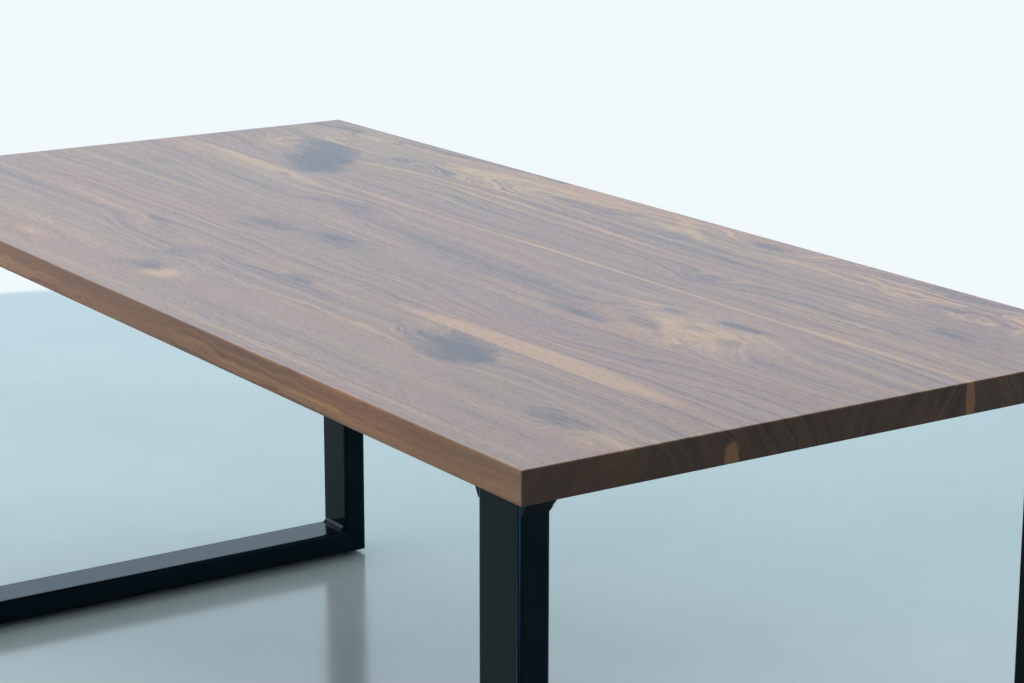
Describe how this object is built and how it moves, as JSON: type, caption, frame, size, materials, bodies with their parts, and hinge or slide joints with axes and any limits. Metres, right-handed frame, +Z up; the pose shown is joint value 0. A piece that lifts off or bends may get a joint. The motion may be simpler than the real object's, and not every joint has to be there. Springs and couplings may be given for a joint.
{
  "type": "dining table",
  "caption": "Rectangular dining table with an edge-glued solid walnut top on two black U-shaped steel tube frames with levelling feet.",
  "frame": {"origin": "on the floor, under the middle of the top", "axes": "+X along the length of the top, +Y across it, +Z up"},
  "size_m": [1.8, 0.85, 0.716],
  "materials": {
    "walnut": "satin oil",
    "black_paint": "semi-gloss paint",
    "black_steel": "black oxide",
    "zinc_steel": "zinc plated",
    "black_nylon": "moulded"
  },
  "bodies": {
    "root": {"top_board_1": "walnut", "top_board_2": "walnut", "top_board_3": "walnut", "top_board_4": "walnut", "top_board_5": "walnut", "top_board_6": "walnut", "left_mounting_plate": "black_paint", "left_bottom_rail": "black_paint", "left_plate_bolts": "black_steel", "left_plate_washers": "black_steel", "left_threaded_inserts": "zinc_steel", "left_front_post": "black_paint", "left_front_top_weld": "black_paint", "left_front_corner_weld": "black_paint", "left_front_foot_nut": "zinc_steel", "left_back_post": "black_paint", "left_back_top_weld": "black_paint", "left_back_corner_weld": "black_paint", "left_back_foot_nut": "zinc_steel", "right_mounting_plate": "black_paint", "right_bottom_rail": "black_paint", "right_plate_bolts": "black_steel", "right_plate_washers": "black_steel", "right_threaded_inserts": "zinc_steel", "right_front_post": "black_paint", "right_front_top_weld": "black_paint", "right_front_corner_weld": "black_paint", "right_front_foot_nut": "zinc_steel", "right_back_post": "black_paint", "right_back_top_weld": "black_paint", "right_back_corner_weld": "black_paint", "right_back_foot_nut": "zinc_steel"},
    "left_front_foot": {"left_front_foot_pad": "black_nylon", "left_front_foot_stud": "zinc_steel"},
    "left_back_foot": {"left_back_foot_pad": "black_nylon", "left_back_foot_stud": "zinc_steel"},
    "right_front_foot": {"right_front_foot_pad": "black_nylon", "right_front_foot_stud": "zinc_steel"},
    "right_back_foot": {"right_back_foot_pad": "black_nylon", "right_back_foot_stud": "zinc_steel"}
  },
  "joints": [
    {"name": "left_front_foot_screw", "type": "slide", "parent": "root", "child": "left_front_foot", "axis": [0, 0, -1], "range_m": [0, 0.01]},
    {"name": "left_back_foot_screw", "type": "slide", "parent": "root", "child": "left_back_foot", "axis": [0, 0, -1], "range_m": [0, 0.01]},
    {"name": "right_front_foot_screw", "type": "slide", "parent": "root", "child": "right_front_foot", "axis": [0, 0, -1], "range_m": [0, 0.01]},
    {"name": "right_back_foot_screw", "type": "slide", "parent": "root", "child": "right_back_foot", "axis": [0, 0, -1], "range_m": [0, 0.01]}
  ]
}
